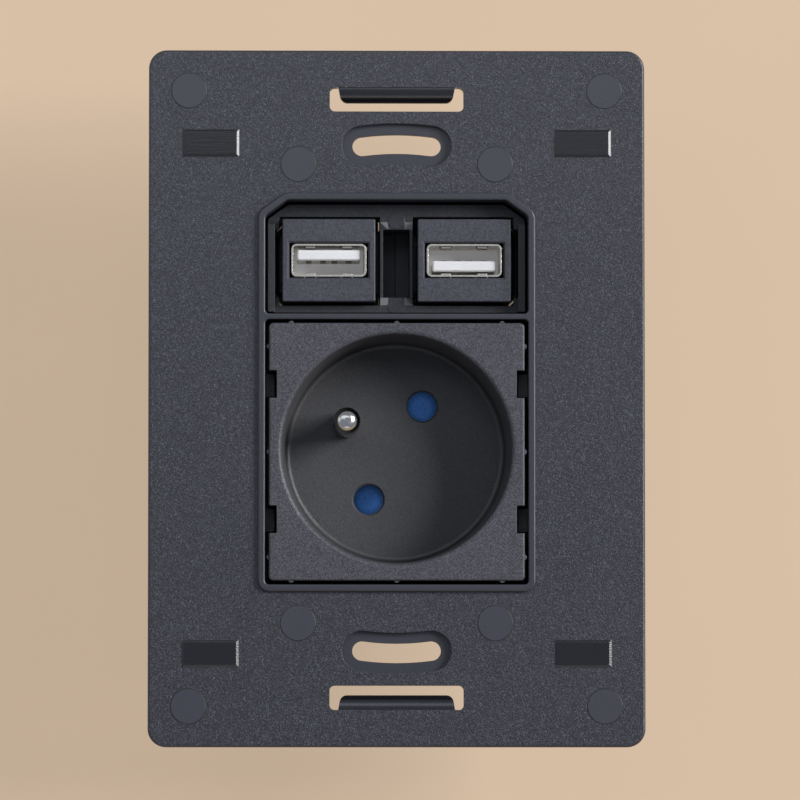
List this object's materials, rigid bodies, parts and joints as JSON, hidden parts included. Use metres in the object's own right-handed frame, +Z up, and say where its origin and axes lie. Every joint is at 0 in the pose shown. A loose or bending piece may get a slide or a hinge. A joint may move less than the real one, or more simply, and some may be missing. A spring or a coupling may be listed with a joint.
{
  "type": "built-in power socket",
  "caption": "Built-in wall power socket: mounting plate with a round earthed mains recess behind a safety shutter, and USB sockets in a carrier above it.",
  "frame": {"origin": "middle of the mounting plate's rear face, between the two fixing slots", "axes": "+X to the right seen from the front, +Y into the panel, +Z up"},
  "size_m": [0.0866, 0.0374, 0.1218],
  "materials": {
    "plate_plastic": "fine-grained moulded dark slate grey",
    "face_plastic": "fine-grained moulded dark grey",
    "base_plastic": "moulded near-black",
    "shutter_plastic": "moulded blue",
    "spring_steel": "drawn wire",
    "nickel_plate": "bright nickel plate",
    "brass_sheet": "rolled sheet",
    "brass_cage": "milled",
    "zinc_steel": "zinc plated",
    "carrier_plastic": "moulded dark grey",
    "module_plastic": "moulded dark grey",
    "board_laminate": "lacquered laminate",
    "nickel_sheet": "nickel plated sheet",
    "white_plastic": "moulded white",
    "gilt_contact": "gilt strip"
  },
  "bodies": {
    "housing": {"mounting_plate": "plate_plastic", "socket_face": "face_plastic", "socket_base": "base_plastic", "shutter_spring": "spring_steel", "earth_pin": "nickel_plate", "earth_strap": "brass_sheet", "live_contact": "brass_sheet", "neutral_contact": "brass_sheet", "terminal_cages": "brass_cage", "terminal_screws": "zinc_steel", "base_screws": "zinc_steel", "usb_carrier": "carrier_plastic", "usb_housing_left": "module_plastic", "usb_rear_cap_left": "module_plastic", "usb_link_board_left": "board_laminate", "usb_front_shell_left": "nickel_sheet", "usb_front_tongue_left": "white_plastic", "usb_front_contacts_left": "gilt_contact", "usb_rear_shell_left": "nickel_sheet", "usb_rear_tongue_left": "white_plastic", "usb_rear_contacts_left": "gilt_contact", "usb_housing_right": "module_plastic", "usb_rear_cap_right": "module_plastic", "usb_link_board_right": "board_laminate", "usb_front_shell_right": "nickel_sheet", "usb_front_tongue_right": "white_plastic", "usb_front_contacts_right": "gilt_contact", "usb_rear_shell_right": "nickel_sheet", "usb_rear_tongue_right": "white_plastic", "usb_rear_contacts_right": "gilt_contact"},
    "shutter": {"safety_shutter": "shutter_plastic"}
  },
  "joints": [
    {"name": "shutter_turn", "type": "hinge", "parent": "housing", "child": "shutter", "pos_m": [0, 0.016, -0.00894], "axis": [0, 1, 0], "range_deg": [0, 38], "stiffness_Nm_per_rad": 0.004, "springref_deg": -20.05, "deforming": ["shutter_spring"]}
  ]
}
